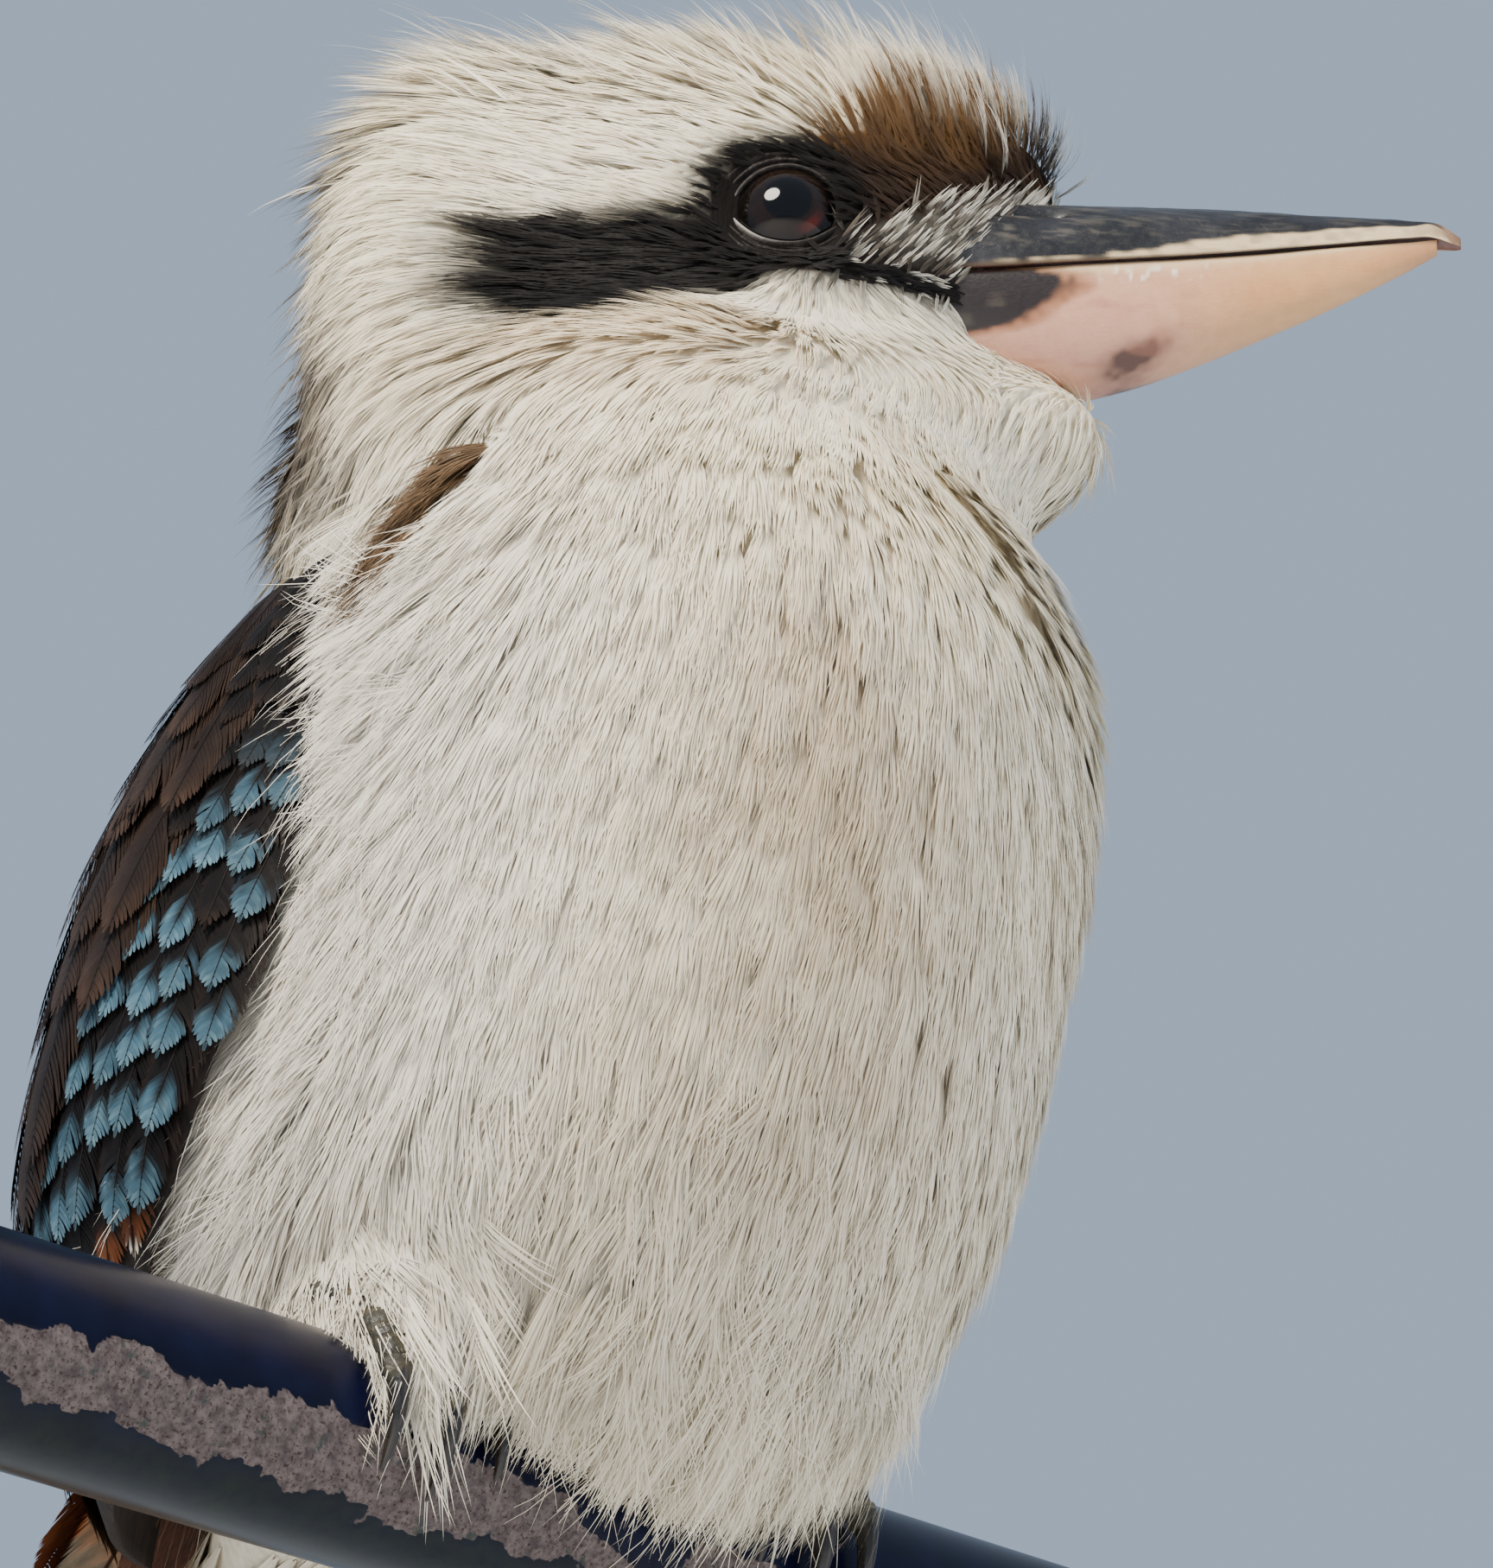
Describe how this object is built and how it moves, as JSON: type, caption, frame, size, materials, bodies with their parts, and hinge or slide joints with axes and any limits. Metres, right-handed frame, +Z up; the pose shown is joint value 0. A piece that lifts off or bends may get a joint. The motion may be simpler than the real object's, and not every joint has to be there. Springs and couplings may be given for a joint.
{
  "type": "laughing kookaburra",
  "caption": "Life-size laughing kookaburra gripping a cut length of round rail, head turned to its left, held up by a plain display stand.",
  "frame": {"origin": "the middle of the stand base's underside, which rests on the floor", "axes": "+Z up; the rail runs along X; the bird's breast faces -Y, its tail points to +Y and its bill is turned 40 degrees from -Y towards +X, the bird's left"},
  "size_m": [0.3, 0.2641, 0.5198],
  "materials": {
    "plumage": "soft barred cream feathers with brown markings",
    "wing_feathers": "dark brown feathers with pale blue spangles",
    "tail_feathers": "rufous feathers with black bars and white tips",
    "bill_upper": "scuffed slate-black horn",
    "bill_lower": "pinkish tan horn with a slate patch",
    "eye": "wet dark brown",
    "foot_skin": "olive-grey scutes",
    "claw_horn": "black horn",
    "perch_paint": "glossy navy paint, worn through in patches",
    "stand_steel": "fine brushed",
    "stand_base": "pale painted board"
  },
  "bodies": {
    "root": {"trunk": "plumage", "neck": "plumage", "head": "plumage", "bill_upper": "bill_upper", "bill_lower": "bill_lower", "eye_R": "eye", "eye_L": "eye", "wing_R": "wing_feathers", "wing_L": "wing_feathers", "tail": "tail_feathers", "leg_R": "foot_skin", "claw_R1": "claw_horn", "claw_R2": "claw_horn", "claw_R3": "claw_horn", "claw_R4": "claw_horn", "leg_L": "foot_skin", "claw_L1": "claw_horn", "claw_L2": "claw_horn", "claw_L3": "claw_horn", "claw_L4": "claw_horn", "perch": "perch_paint", "stand_base": "stand_base", "stand_rod_A": "stand_steel", "stand_rod_B": "stand_steel"}
  },
  "joints": []
}
